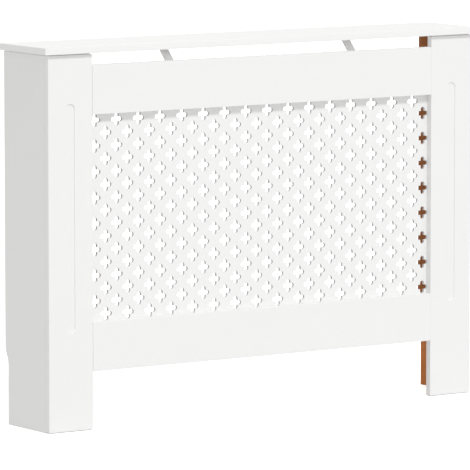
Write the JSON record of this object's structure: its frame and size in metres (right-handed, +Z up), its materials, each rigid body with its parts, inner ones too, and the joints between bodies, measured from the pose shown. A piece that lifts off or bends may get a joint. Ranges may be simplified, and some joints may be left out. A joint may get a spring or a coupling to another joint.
{
  "type": "radiator cover cabinet",
  "caption": "Painted board cabinet that stands over a radiator: overhanging shelf, fluted posts and lattice front, open behind and below for warm air",
  "frame": {"origin": "on the floor, at the centre of the outline seen from above", "axes": "+X along the width, to the right of someone facing the front; +Y from the front to the wall; +Z up"},
  "size_m": [1.12, 0.186, 0.815],
  "materials": {
    "white_paint": "satin white paint",
    "raw_timber": "raw sawn",
    "beech": "raw turned",
    "zinc_steel": "zinc plated"
  },
  "bodies": {
    "root": {"top_board": "white_paint", "left_side_panel": "white_paint", "right_side_panel": "white_paint", "left_front_post": "white_paint", "right_front_post": "white_paint", "top_rail": "white_paint", "bottom_rail": "white_paint", "lattice_panel": "white_paint", "left_top_strap": "zinc_steel", "right_top_strap": "zinc_steel", "left_corner_batten": "raw_timber", "right_corner_batten": "raw_timber", "left_shelf_angle": "zinc_steel", "right_shelf_angle": "zinc_steel", "left_wall_bracket": "zinc_steel", "right_wall_bracket": "zinc_steel", "left_top_rail_dowel_1": "beech", "left_top_rail_dowel_2": "beech", "left_bottom_rail_dowel_1": "beech", "left_bottom_rail_dowel_2": "beech", "right_top_rail_dowel_1": "beech", "right_top_rail_dowel_2": "beech", "right_bottom_rail_dowel_1": "beech", "right_bottom_rail_dowel_2": "beech", "left_shelf_dowel_1": "beech", "left_shelf_dowel_2": "beech", "right_shelf_dowel_1": "beech", "right_shelf_dowel_2": "beech", "left_top_strap_rail_screw_1": "zinc_steel", "left_top_strap_rail_screw_2": "zinc_steel", "left_top_strap_shelf_screw_1": "zinc_steel", "left_top_strap_shelf_screw_2": "zinc_steel", "right_top_strap_rail_screw_1": "zinc_steel", "right_top_strap_rail_screw_2": "zinc_steel", "right_top_strap_shelf_screw_1": "zinc_steel", "right_top_strap_shelf_screw_2": "zinc_steel", "left_shelf_angle_side_screw": "zinc_steel", "left_shelf_angle_shelf_screw": "zinc_steel", "right_shelf_angle_side_screw": "zinc_steel", "right_shelf_angle_shelf_screw": "zinc_steel", "left_wall_bracket_screw_1": "zinc_steel", "left_wall_bracket_screw_2": "zinc_steel", "right_wall_bracket_screw_1": "zinc_steel", "right_wall_bracket_screw_2": "zinc_steel", "left_corner_batten_post_screw_1": "zinc_steel", "left_corner_batten_post_screw_2": "zinc_steel", "left_corner_batten_side_screw_1": "zinc_steel", "left_corner_batten_side_screw_2": "zinc_steel", "right_corner_batten_post_screw_1": "zinc_steel", "right_corner_batten_post_screw_2": "zinc_steel", "right_corner_batten_side_screw_1": "zinc_steel", "right_corner_batten_side_screw_2": "zinc_steel", "lattice_top_screw_1": "zinc_steel", "lattice_top_screw_2": "zinc_steel", "lattice_top_screw_3": "zinc_steel", "lattice_bottom_screw_1": "zinc_steel", "lattice_bottom_screw_2": "zinc_steel", "lattice_bottom_screw_3": "zinc_steel"}
  },
  "joints": []
}
